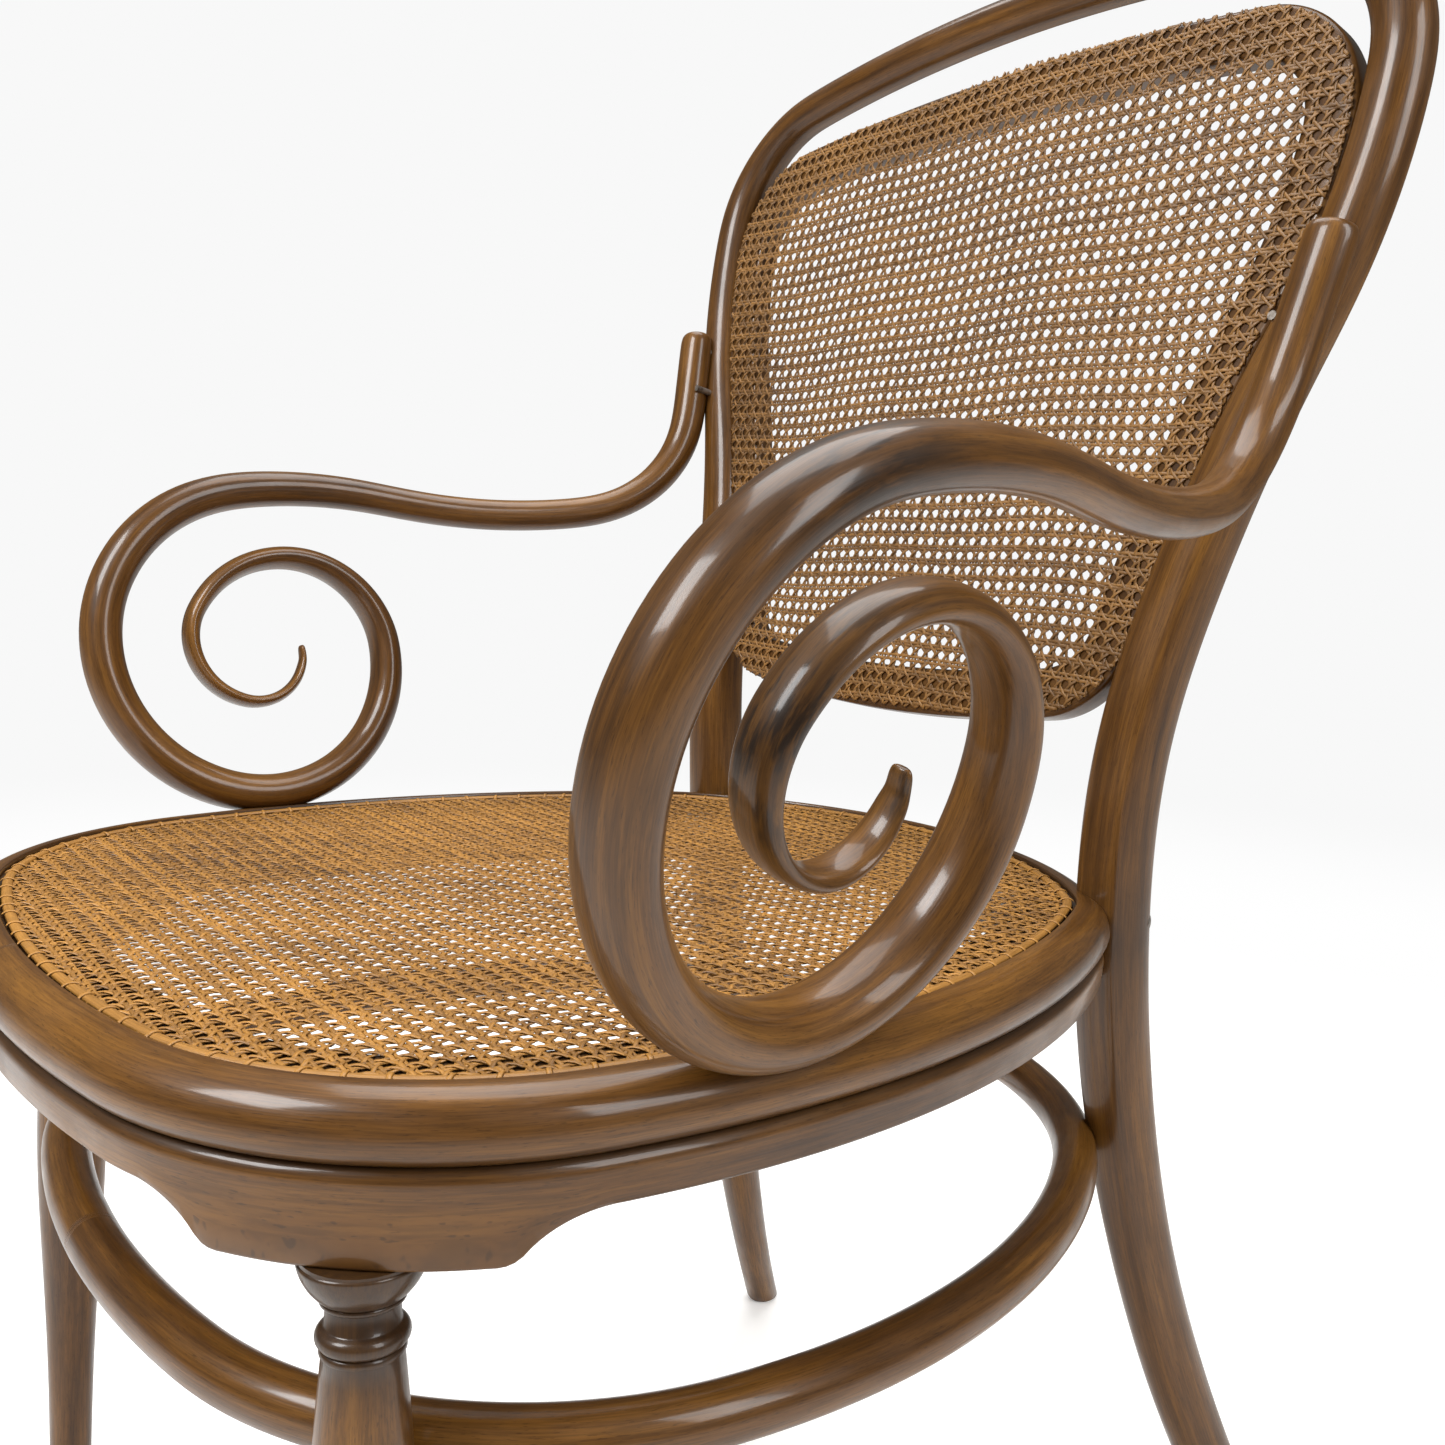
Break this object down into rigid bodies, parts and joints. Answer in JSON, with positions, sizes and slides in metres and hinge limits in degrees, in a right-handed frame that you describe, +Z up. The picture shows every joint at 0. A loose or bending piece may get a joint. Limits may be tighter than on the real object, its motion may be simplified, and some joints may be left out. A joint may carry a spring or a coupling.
{
  "type": "bentwood armchair",
  "caption": "Four-legged bentwood armchair with spiral scroll arms, a caned seat, a caned back panel under a bent arch and a hoop stretcher.",
  "frame": {"origin": "on the floor, under the middle of the chair's bounding box", "axes": "+X to the sitter's left, which is also the chair's plane-of-symmetry normal; the chair faces -Y; +Z is up; left and right in the node names are as seen from the front, so left is -X"},
  "size_m": [0.6386, 0.6476, 0.9742],
  "materials": {
    "wood": "stained beech with a satin polish",
    "seat_cane": "woven rattan cane, golden brown",
    "back_cane": "woven rattan cane, browner than the seat",
    "steel": "dull steel"
  },
  "bodies": {
    "root": {"rear_legs_and_back_hoop": "wood", "seat_ring": "wood", "apron_ring": "wood", "back_panel_frame": "wood", "arm_left": "wood", "arm_right": "wood", "front_leg_left": "wood", "front_leg_right": "wood", "stretcher_hoop": "wood", "seat_cane": "seat_cane", "seat_cane_binder": "seat_cane", "back_cane": "back_cane", "stretcher_screws": "steel", "back_panel_screws": "steel", "arm_upright_screws": "steel", "arm_seat_screws": "steel", "apron_screws": "steel", "seat_bolts": "steel", "seat_bolt_nuts": "steel", "seat_bolt_washers": "steel"}
  },
  "joints": []
}
